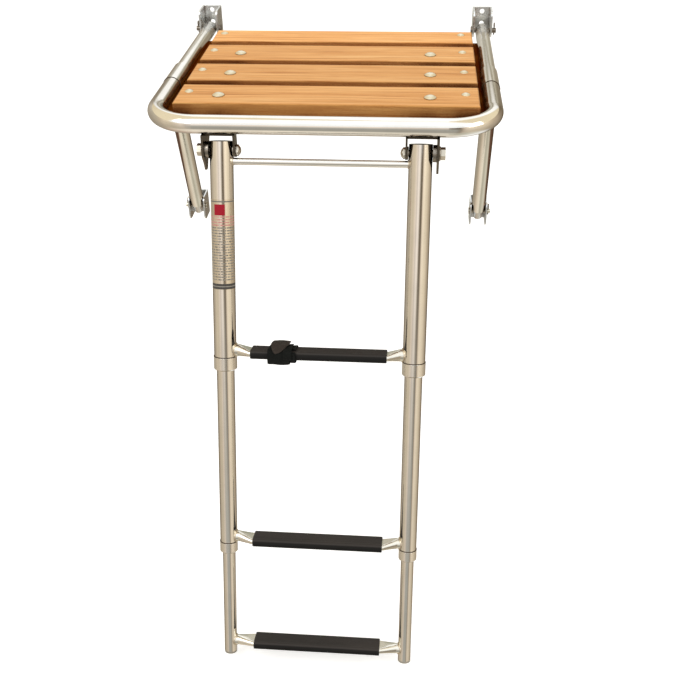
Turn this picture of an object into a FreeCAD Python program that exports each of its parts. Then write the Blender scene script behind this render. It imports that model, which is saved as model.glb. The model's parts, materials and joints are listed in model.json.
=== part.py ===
import FreeCAD, Part
import math, os
from FreeCAD import Vector

# Folding boat boarding platform with a telescoping ladder, in millimetres.
# X runs across the boat, +Y towards the boat and +Z up; "front" is the -Y end, away from it.
# Origin: on the transom plane (Y = 0), at the centre of the four upper bolt holes.
# The shapes are drawn with Z = 0 on the frame centre-line and lowered by ORIGIN_Z when saved.

os.makedirs("parts", exist_ok=True)

ORIGIN_Z = 14.0          # upper bolt pattern centre, above the frame centre-line
SIDES = (("left", -1), ("right", 1))

# ---------------------------------------------------------------- shared sizes
TUBE_WALL = 1.5          # every tube
PIN_CLEAR = 0.05         # radial running clearance
OVERCUT = 1.0            # how far a cutter runs past the faces it opens
DRILL_REACH = 30.0       # half-length of a drill along X

FRAME_X = 231.0          # side tube centre-lines, left and right of centre
FRONT_Y = -470.0         # front rail centre-line
RAIL_OD = 25.4
RAIL_CLEAR = 0.3         # ladder brackets hang this far under the rail
BEND_R = 62.0            # corner bend, centre-line
SEAM_Y = -322.0          # front rail ends, sleeves begin
SLEEVE_END_Y = -254.0
SLEEVE_OD = 26.2
SIDE_OD = 22.2
SIDE_FRONT_Y = -360.0    # side tube runs on inside the front rail leg
SIDE_REAR_Y = -80.0

PIVOT_Y, PIVOT_Z = -30.0, 0.0          # platform hinge axis
HINGE_PIN_D = 8.0
STRUT_PIN_D = 7.0
STRUT_TOP_Y, STRUT_TOP_Z = -311.0, -26.0
STRUT_LOW_Y, STRUT_LOW_Z = -246.0, -228.0
LUG_X = 7.3              # inner face of a strut lug ear, from the tube centre
LUG_T = 3.0


# ---------------------------------------------------------------- helpers
def save(name, *shapes):
    solids = [solid for shape in shapes for solid in shape.removeSplitter().Solids]
    piece = solids[0] if len(solids) == 1 else Part.makeCompound(solids)
    piece.translate(Vector(0, 0, -ORIGIN_Z))
    piece.exportStep(f"parts/{name}.step")


def box(x0, x1, y0, y1, z0, z1):
    return Part.makeBox(x1 - x0, y1 - y0, z1 - z0, Vector(x0, y0, z0))


def cylinder_x(x0, x1, y, z, radius):
    return Part.makeCylinder(radius, x1 - x0, Vector(x0, y, z), Vector(1, 0, 0))


def cylinder_y(x, y0, y1, z, radius):
    return Part.makeCylinder(radius, y1 - y0, Vector(x, y0, z), Vector(0, 1, 0))


def cylinder_z(x, y, z0, z1, radius):
    return Part.makeCylinder(radius, z1 - z0, Vector(x, y, z0), Vector(0, 0, 1))


def drill_x(shape, x, y, z, radius):
    return shape.cut(cylinder_x(x - DRILL_REACH, x + DRILL_REACH, y, z, radius))


def span(side, inner, outer):
    """Distances from the centre plane as (low x, high x) on one side."""
    return sorted((side * inner, side * outer))


def prism(points, direction):
    return Part.Face(Part.makePolygon(points + points[:1])).extrude(direction)


def plate_x(outline, x0, x1):
    """Flat plate from a closed outline of (y, z) points."""
    return prism([Vector(x0, y, z) for y, z in outline], Vector(x1 - x0, 0, 0))


def hexagon(centre, radius, start=0):
    """Corner points of a hexagon; start is the angle of the first, in degrees."""
    angles = [math.radians(60 * k + start) for k in range(6)]
    return [(centre[0] + radius * math.cos(angle), centre[1] + radius * math.sin(angle))
            for angle in angles]


def arc(*points):
    return Part.Arc(*points).toShape()


def is_circle(edge):
    return isinstance(edge.Curve, Part.Circle)


def runs_along_x(edge):
    start, end = [vertex.Point for vertex in edge.Vertexes]
    return abs(end.x - start.x) > 0.999 * end.sub(start).Length


def round_edges(shape, radius, test):
    return shape.makeFillet(radius, [edge for edge in shape.Edges if test(edge)])


def longer_than(shape, length):
    """The first solid of a cut shape that is longer than this along X."""
    return next(solid for solid in shape.Solids if solid.BoundBox.XLength > length)


# ---------------------------------------------------------------- platform frame
EYE_PLUG = 25.0          # rear eye's plug inside the side tube
SLEEVE_ROUND = 0.6
LUG_R = 9.0              # lug ear round the strut pin
LUG_ROOT_Z = -8.0
LUG_ROOT_REAR = 24.0     # the ear's root reaches this far behind the pin


def rail_solid(radius):
    """The U of the front rail as a solid bar, swept from its left end."""
    bend_y = FRONT_Y + BEND_R
    bend_x = FRAME_X - BEND_R
    inset = BEND_R * (1 - math.sqrt(0.5))
    mid_x, mid_y = FRAME_X - inset, FRONT_Y + inset
    left_bend = [Vector(-FRAME_X, bend_y, 0), Vector(-mid_x, mid_y, 0),
                 Vector(-bend_x, FRONT_Y, 0)]
    right_bend = [Vector(bend_x, FRONT_Y, 0), Vector(mid_x, mid_y, 0),
                  Vector(FRAME_X, bend_y, 0)]
    left_end, right_end = Vector(-FRAME_X, SEAM_Y, 0), Vector(FRAME_X, SEAM_Y, 0)
    path = Part.Wire([
        Part.makeLine(left_end, left_bend[0]),
        arc(*left_bend),
        Part.makeLine(left_bend[2], right_bend[0]),
        arc(*right_bend),
        Part.makeLine(right_bend[2], right_end),
    ])
    profile = Part.Wire([Part.makeCircle(radius, left_end, Vector(0, 1, 0))])
    return path.makePipeShell([profile], True, False)


def bend_corner(side, radius):
    """One corner bend of the front rail as a solid quarter ring."""
    reach, half_height = 90, 20        # box that picks the quarter out of a full ring
    x, y = side * (FRAME_X - BEND_R), FRONT_Y + BEND_R
    x0, x1 = sorted((x, x + side * reach))
    ring = Part.makeTorus(BEND_R, radius, Vector(x, y, 0), Vector(0, 0, 1))
    return ring.common(box(x0, x1, y - reach, y, -half_height, half_height))


def side_tube(x):
    tube = cylinder_y(x, SIDE_FRONT_Y, SIDE_REAR_Y, 0, SIDE_OD / 2)
    return tube.cut(cylinder_y(x, SIDE_FRONT_Y - OVERCUT, SIDE_REAR_Y + OVERCUT, 0,
                               SIDE_OD / 2 - TUBE_WALL))


def lug_ear(x, direction):
    """One of the two ears under a sleeve that hold the strut pin."""
    x0, x1 = sorted((x + direction * LUG_X, x + direction * (LUG_X + LUG_T)))
    y, z = STRUT_TOP_Y, STRUT_TOP_Z
    outline = [(y - LUG_R, LUG_ROOT_Z), (y + LUG_ROOT_REAR, LUG_ROOT_Z),
               (y + LUG_R, z), (y - LUG_R, z)]
    return plate_x(outline, x0, x1).fuse(cylinder_x(x0, x1, y, z, LUG_R))


def sleeve(x):
    """Sleeve over the side tube, with the strut lug below it."""
    body = cylinder_y(x, SEAM_Y, SLEEVE_END_Y, 0, SLEEVE_OD / 2)
    body = round_edges(body, SLEEVE_ROUND, is_circle)
    body = body.fuse(lug_ear(x, -1).fuse(lug_ear(x, 1)))
    body = body.cut(cylinder_y(x, SEAM_Y - OVERCUT, SLEEVE_END_Y + OVERCUT, 0, SIDE_OD / 2))
    return drill_x(body, x, STRUT_TOP_Y, STRUT_TOP_Z, STRUT_PIN_D / 2)


def rear_eye(x):
    """Plug in the tube, full-width neck and a ball nose round the hinge pin."""
    plug = cylinder_y(x, SIDE_REAR_Y - EYE_PLUG, SIDE_REAR_Y, 0, SIDE_OD / 2 - TUBE_WALL)
    neck = cylinder_y(x, SIDE_REAR_Y, PIVOT_Y, 0, SIDE_OD / 2)
    nose = Part.makeSphere(SIDE_OD / 2, Vector(x, PIVOT_Y, 0))
    eye = plug.fuse(neck).fuse(nose)
    return drill_x(eye, x, PIVOT_Y, PIVOT_Z, HINGE_PIN_D / 2 + PIN_CLEAR)


rail_outer = rail_solid(RAIL_OD / 2)
save("front_rail", rail_outer.cut(rail_solid(RAIL_OD / 2 - TUBE_WALL)))
for name, side in SIDES:
    save("side_tube_" + name, side_tube(side * FRAME_X))
    save("sleeve_" + name, sleeve(side * FRAME_X))
    save("rear_eye_" + name, rear_eye(side * FRAME_X))

# ---------------------------------------------------------------- slats and their fasteners
SLAT_X0, SLAT_X1 = -202.0, 210.5       # boards sit a little to the right
SLAT_TOP_Z = 18.0
SLAT_T = 20.0
SLAT_BOTTOM_Z = SLAT_TOP_Z - SLAT_T
SLAT_WIDTHS = (73.5, 73.5, 73.5, 59.5)           # front to rear
SLAT_PITCH = 92.5
SLAT_FRONT_Y = FRONT_Y + 30.5
SLAT_ROUND = 2.2
RELIEF_CLEAR = 0.5       # front slat round the right corner bend

SCREW_XS = (-188.0, 192.5)
SCREW_OFFSETS = (7.5, 7.5, 7.5, 11.0)            # from each slat's centre, front to rear
SCREW_R = 2.45
SCREW_HOLE_R = 2.5
SCREW_TAIL = 3.0         # below the slat supports
BOLT_XS = (-144.3, 144.3)
BOLT_OFFSET = -7.0
BOLT_ROWS = 3            # the rear slat has no bolts
BOLT_R = 4.0
BOLT_HOLE_R = 4.1
BOLT_TAIL = 9.0          # below the ladder bracket flange
NUT_H = 6.5
NUT_CORNER_R = 7.2

SUPPORT_T = 4.0
SUPPORT_X = 178.0        # inner edge; the outer edge meets the side tube
SUPPORT_Z = SLAT_BOTTOM_Z - SUPPORT_T            # underside
SUPPORT_FRONT_Y = FRONT_Y + 4
CROSS_Y0, CROSS_Y1 = -126.0, -96.0
CROSS_T = 4.0
FLANGE_Z0 = SLAT_BOTTOM_Z - 3.0                  # ladder bracket flange underside

slat_spans = [(SLAT_FRONT_Y + row * SLAT_PITCH, SLAT_FRONT_Y + row * SLAT_PITCH + width)
              for row, width in enumerate(SLAT_WIDTHS)]
slat_centres = [(y0 + y1) / 2 for y0, y1 in slat_spans]
screw_ys = [y + offset for y, offset in zip(slat_centres, SCREW_OFFSETS)]
bolt_ys = [y + BOLT_OFFSET for y in slat_centres[:BOLT_ROWS]]


def slat_support(side, screw_x):
    """Flat bar under the slat ends, trimmed to the frame tubes."""
    x = side * FRAME_X
    x0, x1 = span(side, SUPPORT_X, FRAME_X)
    bar = box(x0, x1, SUPPORT_FRONT_Y, CROSS_Y1, SUPPORT_Z, SLAT_BOTTOM_Z)
    bar = bar.cut(cylinder_y(x, SEAM_Y, SLEEVE_END_Y, 0, SLEEVE_OD / 2))
    bar = bar.cut(cylinder_y(x, FRONT_Y + 40, 0, 0, SIDE_OD / 2))
    # straight leg and corner bend of the front rail
    bar = bar.cut(cylinder_y(x, FRONT_Y + BEND_R, SEAM_Y, 0, RAIL_OD / 2))
    bar = bar.cut(bend_corner(side, RAIL_OD / 2))
    bar = bar.cut(rail_outer)
    # keep the piece that reaches back over the cross bar
    bar = next(solid for solid in bar.Solids if solid.BoundBox.YMax > -120)
    for y in screw_ys:
        bar = bar.cut(cylinder_z(screw_x, y, SUPPORT_Z - OVERCUT, SLAT_BOTTOM_Z + OVERCUT,
                                 SCREW_R))
    return bar


def cross_bar():
    """Flat bar between the side tubes; the two rear screws pass into it."""
    bar = box(-FRAME_X, FRAME_X, CROSS_Y0, CROSS_Y1, SUPPORT_Z - CROSS_T, SUPPORT_Z)
    for _, side in SIDES:
        bar = bar.cut(cylinder_y(side * FRAME_X, CROSS_Y0 - OVERCUT, CROSS_Y1 + OVERCUT, 0,
                                 SIDE_OD / 2))
    bar = longer_than(bar, 300)
    for x in SCREW_XS:
        bar = bar.cut(cylinder_z(x, screw_ys[-1], SUPPORT_Z - CROSS_T - OVERCUT,
                                 SUPPORT_Z + OVERCUT, SCREW_R))
    return bar


def slat(row):
    def hole(x, y, radius):
        return cylinder_z(x, y, SLAT_BOTTOM_Z - OVERCUT, SLAT_TOP_Z + OVERCUT, radius)

    board = box(SLAT_X0, SLAT_X1, *slat_spans[row], SLAT_BOTTOM_Z, SLAT_TOP_Z)
    board = round_edges(board, SLAT_ROUND, lambda edge: edge.BoundBox.ZMin > SLAT_TOP_Z - 0.01)
    for screw_x, bolt_x in zip(SCREW_XS, BOLT_XS):
        board = board.cut(hole(screw_x, screw_ys[row], SCREW_HOLE_R))
        if row < BOLT_ROWS:
            board = board.cut(hole(bolt_x, bolt_ys[row], BOLT_HOLE_R))
    if row == 0:
        # relieved under the right front corner, where the rail bends past it
        board = board.cut(bend_corner(1, RAIL_OD / 2 + RELIEF_CLEAR))
        board = max(board.Solids, key=lambda solid: solid.Volume)
    return board


def domed_fastener(x, y, bottom_z, shank_r, head_r, head_h, dome_r):
    """Vertical shank with a domed head on the slat's top face."""
    shank = cylinder_z(x, y, bottom_z, SLAT_TOP_Z, shank_r)
    dome = Part.makeSphere(dome_r, Vector(x, y, SLAT_TOP_Z + head_h - dome_r))
    head = dome.common(cylinder_z(x, y, SLAT_TOP_Z, SLAT_TOP_Z + head_h + OVERCUT, head_r))
    return shank.fuse(head)


def slat_screw(x, y):
    return domed_fastener(x, y, SUPPORT_Z - SCREW_TAIL, SCREW_R,
                          head_r=6.0, head_h=2.6, dome_r=8.3)


def bracket_bolt(x, y):
    return domed_fastener(x, y, FLANGE_Z0 - BOLT_TAIL, BOLT_R,
                          head_r=8.2, head_h=4.0, dome_r=12.5)


def bracket_nut(x, y):
    bottom_z = FLANGE_Z0 - NUT_H
    corners = [Vector(px, py, bottom_z) for px, py in hexagon((x, y), NUT_CORNER_R, start=30)]
    nut = prism(corners, Vector(0, 0, NUT_H))
    return nut.cut(cylinder_z(x, y, bottom_z - OVERCUT, FLANGE_Z0 + OVERCUT, BOLT_R))


for (name, side), screw_x in zip(SIDES, SCREW_XS):
    save("slat_support_" + name, slat_support(side, screw_x))
save("cross_bar", cross_bar())
for row in range(len(SLAT_WIDTHS)):
    # slat numbers count from the boat outwards
    save(f"slat_{len(SLAT_WIDTHS) - row}", slat(row))
save("slat_screws", *[slat_screw(x, y) for y in screw_ys for x in SCREW_XS])
save("bracket_bolts", *[bracket_bolt(x, y) for y in bolt_ys for x in BOLT_XS])
save("bracket_nuts", *[bracket_nut(x, y) for y in bolt_ys for x in BOLT_XS])

# ---------------------------------------------------------------- ladder hinge
LADDER_X = 134.0         # ladder rail centre-lines
LADDER_Y, LADDER_Z = -468.0, -37.0               # ladder hinge axis
OUTER_OD = 31.75         # ladder tubes, widest first
MID_OD = 25.4
INNER_OD = 19.05

HINGE_BOLT_R = 4.75
YOKE_Z1 = -RAIL_OD / 2 - RAIL_CLEAR              # yoke top face, just under the front rail
YOKE_Z0 = YOKE_Z1 - 3.0
YOKE_REAR_Y = FRONT_Y + 16.5
FLANGE_Y0 = FRONT_Y + 28
FLANGE_Y1 = slat_spans[2][1] - 6
OUTER_EAR_X0, OUTER_EAR_X1 = 155.5, 158.5
INNER_EAR_X0, INNER_EAR_X1 = 113.6, 116.2
INNER_EAR_R = 9.0
WASHER_GAP = 0.3         # between a washer and the ladder tube
BOLT_FLANGE_T = 1.6
BOLT_HEAD_H = 6.6
BOLT_END = 4.5           # bolt inboard of the inner ear
ACORN_HEX_H = 3.2
# outer ear outline, (y, z): along the top from the rear, then back underneath
OUTER_EAR = [
    (FLANGE_Y1, SLAT_BOTTOM_Z), (FLANGE_Y0, SLAT_BOTTOM_Z),
    (YOKE_REAR_Y, YOKE_Z1), (LADDER_Y - 11, YOKE_Z1),
    (LADDER_Y - 15, LADDER_Z - 5), (LADDER_Y - 9, LADDER_Z - 14),
    (LADDER_Y - 3, LADDER_Z - 28), (LADDER_Y + 3, LADDER_Z - 28),
    (LADDER_Y + 15, LADDER_Z - 12), (LADDER_Y + 40, SLAT_BOTTOM_Z - 16),
    (FLANGE_Y1 - 10, SLAT_BOTTOM_Z - 10), (FLANGE_Y1, SLAT_BOTTOM_Z - 6),
]


def hinge_cylinder(side, inner, outer, radius):
    return cylinder_x(*span(side, inner, outer), LADDER_Y, LADDER_Z, radius)


def ladder_bracket(side):
    """Long outer ear and short inner ear, joined by a yoke under the front rail."""
    outer = plate_x(OUTER_EAR, *span(side, OUTER_EAR_X0, OUTER_EAR_X1))
    flange = box(*span(side, LADDER_X, OUTER_EAR_X0), FLANGE_Y0, FLANGE_Y1,
                 FLANGE_Z0, SLAT_BOTTOM_Z)
    yoke = box(*span(side, INNER_EAR_X0, OUTER_EAR_X0), LADDER_Y - 3, YOKE_REAR_Y,
               YOKE_Z0, YOKE_Z1)
    y0, y1 = LADDER_Y - INNER_EAR_R, LADDER_Y + INNER_EAR_R
    inner = plate_x([(y0, YOKE_Z1), (y1, YOKE_Z1), (y1, LADDER_Z), (y0, LADDER_Z)],
                    *span(side, INNER_EAR_X0, INNER_EAR_X1))
    inner = inner.fuse(hinge_cylinder(side, INNER_EAR_X0, INNER_EAR_X1, INNER_EAR_R))
    bracket = outer.fuse(flange).fuse(yoke).fuse(inner)
    bracket = drill_x(bracket, side * LADDER_X, LADDER_Y, LADDER_Z, HINGE_BOLT_R)
    for y in bolt_ys:
        bracket = bracket.cut(cylinder_z(side * BOLT_XS[1], y, FLANGE_Z0 - OVERCUT,
                                         SLAT_BOTTOM_Z + OVERCUT, BOLT_R))
    return bracket


def hinge_bolt(side):
    """Flanged hex bolt, head outboard."""
    head_x = OUTER_EAR_X1 + BOLT_FLANGE_T
    shank = hinge_cylinder(side, INNER_EAR_X0 - BOLT_END, head_x, HINGE_BOLT_R)
    head = plate_x(hexagon((LADDER_Y, LADDER_Z), 8.6), side * head_x,
                   side * (head_x + BOLT_HEAD_H))
    flange = hinge_cylinder(side, OUTER_EAR_X1, head_x, 9.6)
    return shank.fuse(head).fuse(flange)


def hinge_nut(side):
    """Acorn nut on the inboard end."""
    hex_end = INNER_EAR_X0 - ACORN_HEX_H
    nut = plate_x(hexagon((LADDER_Y, LADDER_Z), 7.8), side * INNER_EAR_X0, side * hex_end)
    dome = Part.makeSphere(9.0, Vector(side * (INNER_EAR_X0 + 2.4), LADDER_Y, LADDER_Z))
    dome = dome.common(hinge_cylinder(side, INNER_EAR_X0 - 7, hex_end, 6.4))
    return nut.fuse(dome).cut(hinge_cylinder(side, INNER_EAR_X0 - BOLT_END,
                                             INNER_EAR_X0 + OVERCUT, HINGE_BOLT_R))


def hinge_washer(side, inner, outer, radius):
    washer = hinge_cylinder(side, inner, outer, radius)
    return drill_x(washer, side * LADDER_X, LADDER_Y, LADDER_Z, HINGE_BOLT_R + PIN_CLEAR)


washers = []
washer_offset = OUTER_OD / 2 + WASHER_GAP
for name, side in SIDES:
    save("ladder_bracket_" + name, ladder_bracket(side))
    washers += [hinge_washer(side, LADDER_X + washer_offset, OUTER_EAR_X0, 11.5),
                hinge_washer(side, INNER_EAR_X1, LADDER_X - washer_offset, 8.6)]
save("ladder_pivot_bolts", *[hinge_bolt(side) for _, side in SIDES])
save("ladder_pivot_nuts", *[hinge_nut(side) for _, side in SIDES])
save("ladder_pivot_washers", *washers)

# ---------------------------------------------------------------- transom brackets and pins
UPPER_GAP, UPPER_T = 26.0, 3.0         # between the ears, and plate thickness
LOWER_GAP, LOWER_T = 22.8, 2.2
CHANNEL_NOSE = 11.0      # ears run this far in front of the pivot
PIN_HEAD_GAP = 0.2       # pin head off the ear
COTTER_INSET = 3.2       # split pin hole from the clevis pin's end
COTTER_HOLE_R = 1.1
COTTER_R = 1.05
COTTER_RING_R = 3.2


def channel(x, y, z, gap, wall, back, hole_d, hole_zs, below, above, low_r, high_r, pin_d):
    """U channel: web on the plane y = back, two ears forward past the pivot at y, z."""
    half = gap / 2 + wall
    body = box(x - half, x + half, y - CHANNEL_NOSE, back, z - below, z + above)
    body = round_edges(body, low_r, lambda edge: runs_along_x(edge)
                       and edge.BoundBox.YMax < y and edge.BoundBox.ZMax < z)
    body = round_edges(body, high_r, lambda edge: runs_along_x(edge)
                       and edge.BoundBox.YMax < y and edge.BoundBox.ZMin > z)
    body = body.cut(box(x - gap / 2, x + gap / 2, y - 20, back - wall, z - 60, z + 60))
    for hole_z in hole_zs:
        body = body.cut(cylinder_y(x, back - 10, back + 5, z + hole_z, hole_d / 2))
    return drill_x(body, x, y, z, pin_d / 2)


def clevis_pin(side, y, z, ear_x, pin_d, tail=7.0, head_r=6.4, head_t=2.5):
    """Pin along X, head inboard, and the split pin through its outboard tail.

    ear_x is the outer face of the ears, from the tube centre.
    """
    x = side * FRAME_X
    half = ear_x + PIN_HEAD_GAP
    head_x = x - side * half
    pin = cylinder_x(*sorted((head_x, x + side * (half + tail))), y, z, pin_d / 2)
    pin = pin.fuse(cylinder_x(*sorted((head_x, head_x - side * head_t)), y, z, head_r))
    cotter_x = x + side * (half + tail - COTTER_INSET)
    pin = pin.cut(cylinder_z(cotter_x, y, z - pin_d, z + pin_d, COTTER_HOLE_R))
    leg = cylinder_z(cotter_x, y, z - pin_d / 2 - 3.0, z + pin_d / 2 + 2.0, COTTER_R)
    ring = Part.makeTorus(COTTER_RING_R, COTTER_R, Vector(cotter_x, y, z + pin_d / 2 + 4.6),
                          Vector(1, 0, 0))
    return pin, leg.fuse(ring)


hinge_pins, strut_pins = [], []        # (pin, split pin) for each side
for name, side in SIDES:
    save("upper_bracket_" + name, channel(
        side * FRAME_X, PIVOT_Y, PIVOT_Z, UPPER_GAP, UPPER_T, back=0.0,
        hole_d=8.0, hole_zs=(4.0, 24.0), below=11.0, above=31.0,
        low_r=10.9, high_r=7.0, pin_d=HINGE_PIN_D))
    save("lower_bracket_" + name, channel(
        side * FRAME_X, STRUT_LOW_Y, STRUT_LOW_Z, LOWER_GAP, LOWER_T, back=STRUT_LOW_Y + 24.0,
        hole_d=7.0, hole_zs=(-13.0, 7.0), below=23.0, above=17.0,
        low_r=8.0, high_r=8.0, pin_d=STRUT_PIN_D))
    hinge_pins.append(clevis_pin(side, PIVOT_Y, PIVOT_Z, UPPER_GAP / 2 + UPPER_T, HINGE_PIN_D))
    strut_pins.append(clevis_pin(side, STRUT_TOP_Y, STRUT_TOP_Z, LUG_X + LUG_T, STRUT_PIN_D,
                                 tail=6.5, head_r=5.6))
    pin, cotter = clevis_pin(side, STRUT_LOW_Y, STRUT_LOW_Z, LOWER_GAP / 2 + LOWER_T,
                             STRUT_PIN_D, tail=5.2, head_r=5.2, head_t=1.8)
    save("lower_pin_" + name, pin)
    save("lower_cotter_" + name, cotter)
for prefix, pairs in (("upper", hinge_pins), ("strut", strut_pins)):
    save(prefix + "_pins", *[pin for pin, _ in pairs])
    save(prefix + "_cotters", *[cotter for _, cotter in pairs])

# ---------------------------------------------------------------- struts
STRUT_OD = 22.2
STRUT_BORE_R = STRUT_OD / 2 - TUBE_WALL
STRUT_PLUG = 22.0        # length of the end plugs inside the tube
STRUT_START = 15.0       # tube's upper end, from the upper pin
STRUT_STOP = 4.6         # tube's lower end, short of the lower pin
TONGUE_X = 7.0           # half thickness
TONGUE_R = 8.0           # half width, and radius round the pin
CONE_PAST_PIN = 13.0

strut_vector = Vector(0, STRUT_LOW_Y - STRUT_TOP_Y, STRUT_LOW_Z - STRUT_TOP_Z)
strut_end = strut_vector.Length - STRUT_STOP
strut_down = strut_vector / strut_vector.Length


def strut_point(x, distance):
    """Point on the strut's centre-line, measured down from the upper pin."""
    return Vector(x, STRUT_TOP_Y, STRUT_TOP_Z) + strut_down * distance


def strut_bar(x, start, length, radius):
    return Part.makeCylinder(radius, length, strut_point(x, start), strut_down)


def strut_tube(x):
    length = strut_end - STRUT_START
    return strut_bar(x, STRUT_START, length, STRUT_OD / 2).cut(
        strut_bar(x, STRUT_START, length, STRUT_BORE_R))


def upper_strut_eye(x):
    """Plug with a flat tongue up to the pin."""
    across = Vector(0, -strut_down.z, strut_down.y) * TONGUE_R
    along = strut_down * (STRUT_START + 1.0)
    corner = strut_point(x - TONGUE_X, 0)
    tongue = prism([corner + across, corner + across + along,
                    corner - across + along, corner - across], Vector(2 * TONGUE_X, 0, 0))
    eye = strut_bar(x, STRUT_START, STRUT_PLUG, STRUT_BORE_R).fuse(tongue)
    eye = eye.fuse(cylinder_x(x - TONGUE_X, x + TONGUE_X, STRUT_TOP_Y, STRUT_TOP_Z, TONGUE_R))
    return drill_x(eye, x, STRUT_TOP_Y, STRUT_TOP_Z, STRUT_PIN_D / 2 + PIN_CLEAR)


def lower_strut_eye(x):
    """Plug with a tapered nose past the pin."""
    eye = strut_bar(x, strut_end - STRUT_PLUG, STRUT_PLUG, STRUT_BORE_R)
    eye = eye.fuse(Part.makeCone(10.8, 6.6, STRUT_STOP + CONE_PAST_PIN,
                                 strut_point(x, strut_end), strut_down))
    return drill_x(eye, x, STRUT_LOW_Y, STRUT_LOW_Z, STRUT_PIN_D / 2 + PIN_CLEAR)


for name, side in SIDES:
    x = side * FRAME_X
    tube = strut_tube(x)
    save("strut_tube_" + name, tube)
    save("strut_eyes_" + name, upper_strut_eye(x).cut(tube), lower_strut_eye(x).cut(tube))

# ---------------------------------------------------------------- ladder
# Drawn upright with its pivot at the origin, then swung out. Stations are
# distances down the rails from the tube tops.
LADDER_TILT = 19.3       # degrees outboard of vertical
TOP_ABOVE_PIVOT = 12.0
COLLAR1, COLLAR1_H, COLLAR1_OD = 300.5, 19.0, 33.2
COLLAR2, COLLAR2_H, COLLAR2_OD = 588.5, 16.0, 26.8
OUTER_END = COLLAR1 + 13.0             # tubes end in the collar counterbores
MID_END = COLLAR2 + 11.0
MID_TOP = 276.0
INNER_TOP = 452.0
BOTTOM = 775.5
INNER_END = BOTTOM - 3.0
CAP_TOP = BOTTOM - 15.0
TOP_PLUG = 5.0
GLIDE_H = 14.0
SLIDE_CLEAR = 0.06
ROD_STATION, ROD_R = 26.8, 4.75
STEP1, STEP2, STEP3 = 293.6, 583.6, 755.4
GRIP_LEN, GRIP_D, GRIP_T = 192.0, 32.0, 13.2
GRIP_ROUND = 4.2
TREAD_D, TREAD_T = 27.6, 8.8
FLAT_X = GRIP_LEN / 2 + 1.5            # end of the flattened middle
ROUND_LEN = 3.0          # round end outside the rail
STRAP_X0, STRAP_X1 = -71.0, -31.0


def height(station):
    return TOP_ABOVE_PIVOT - station


def save_ladder(name, *shapes):
    """Swing the shapes out about the ladder hinge and save them."""
    swing = FreeCAD.Placement(Vector(0, LADDER_Y, LADDER_Z),
                              FreeCAD.Rotation(Vector(1, 0, 0), -LADDER_TILT))
    for shape in shapes:
        shape.Placement = swing.multiply(shape.Placement)
    save(name, *shapes)


def rail_bar(x, start, end, radius):
    return cylinder_z(x, 0, height(end), height(start), radius)


def ring(x, start, end, radius, bore_r):
    return rail_bar(x, start, end, radius).cut(
        rail_bar(x, start - OVERCUT, end + OVERCUT, bore_r))


def rail_tube(x, start, end, tube_od):
    return ring(x, start, end, tube_od / 2, tube_od / 2 - TUBE_WALL)


def collar(x, start, length, collar_od, chamfer, seat, tube_od, sliding_od):
    """Collar with its lower rim chamfered, counterbored to seat for the tube above."""
    end = start + length
    body = rail_bar(x, start, end, collar_od / 2)
    body = body.makeChamfer(chamfer, [
        edge for edge in body.Edges
        if is_circle(edge) and edge.BoundBox.ZMax < height(end) + 0.1])
    body = body.cut(rail_bar(x, start - OVERCUT, seat, tube_od / 2))
    return body.cut(rail_bar(x, seat - OVERCUT, end + OVERCUT, sliding_od / 2 + SLIDE_CLEAR))


def glide(x, start, tube_od, sliding_od):
    return ring(x, start, start + GLIDE_H, tube_od / 2 - TUBE_WALL - SLIDE_CLEAR,
                sliding_od / 2)


def foot_cap(x):
    return rail_bar(x, INNER_END, BOTTOM, INNER_OD / 2).fuse(
        rail_bar(x, CAP_TOP, INNER_END, INNER_OD / 2 - TUBE_WALL))


def trim_to_rails(body, station, rail_od, reach):
    for _, side in SIDES:
        body = body.cut(rail_bar(side * LADDER_X, station - reach, station + reach, rail_od / 2))
    return longer_than(body, 100)


def flat_wire(x, z):
    """Flattened-tube section, straight sides with full-round edges."""
    radius = TREAD_T / 2
    half = TREAD_D / 2 - radius
    diagonal = radius * math.sqrt(0.5)

    def point(y, dz):
        return Vector(x, y, z + dz)

    return Part.Wire([
        Part.makeLine(point(-half, radius), point(half, radius)),
        arc(point(half, radius), point(half + diagonal, diagonal), point(half + radius, 0)),
        arc(point(half + radius, 0), point(half + diagonal, -diagonal), point(half, -radius)),
        Part.makeLine(point(half, -radius), point(-half, -radius)),
        arc(point(-half, -radius), point(-half - diagonal, -diagonal),
            point(-half - radius, 0)),
        arc(point(-half - radius, 0), point(-half - diagonal, diagonal), point(-half, radius)),
    ])


def round_wire(x, z, radius):
    """Circle in six arcs, to match the six edges of the flat section in a loft."""
    angles = (118, 62, 0, -62, -118, -180, -242)
    arcs = []
    for start, end in zip(angles, angles[1:]):
        turns = [math.radians(angle) for angle in (start, (start + end) / 2, end)]
        arcs.append(arc(*[Vector(x, radius * math.cos(turn), z + radius * math.sin(turn))
                          for turn in turns]))
    return Part.Wire(arcs)


def flat_bar(half_length, z):
    return Part.Face(flat_wire(-half_length, z)).extrude(Vector(2 * half_length, 0, 0))


def tread(station, end_station, rail_od, end_r):
    """Step tube: round where it meets the rails, flattened under the grip."""
    z, end_z = height(station), height(end_station)
    round_x = LADDER_X - rail_od / 2 - ROUND_LEN
    end_x = LADDER_X - rail_od / 2 * 0.55        # inside the rail, trimmed below
    body = flat_bar(FLAT_X, z)
    for _, side in SIDES:
        taper = Part.makeLoft([flat_wire(side * FLAT_X, z),
                               round_wire(side * round_x, end_z, end_r)], True, True)
        end = cylinder_x(*span(side, round_x, end_x), 0, end_z, end_r)
        body = body.fuse(taper).fuse(end)
    return trim_to_rails(body, station, rail_od, 60)


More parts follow.
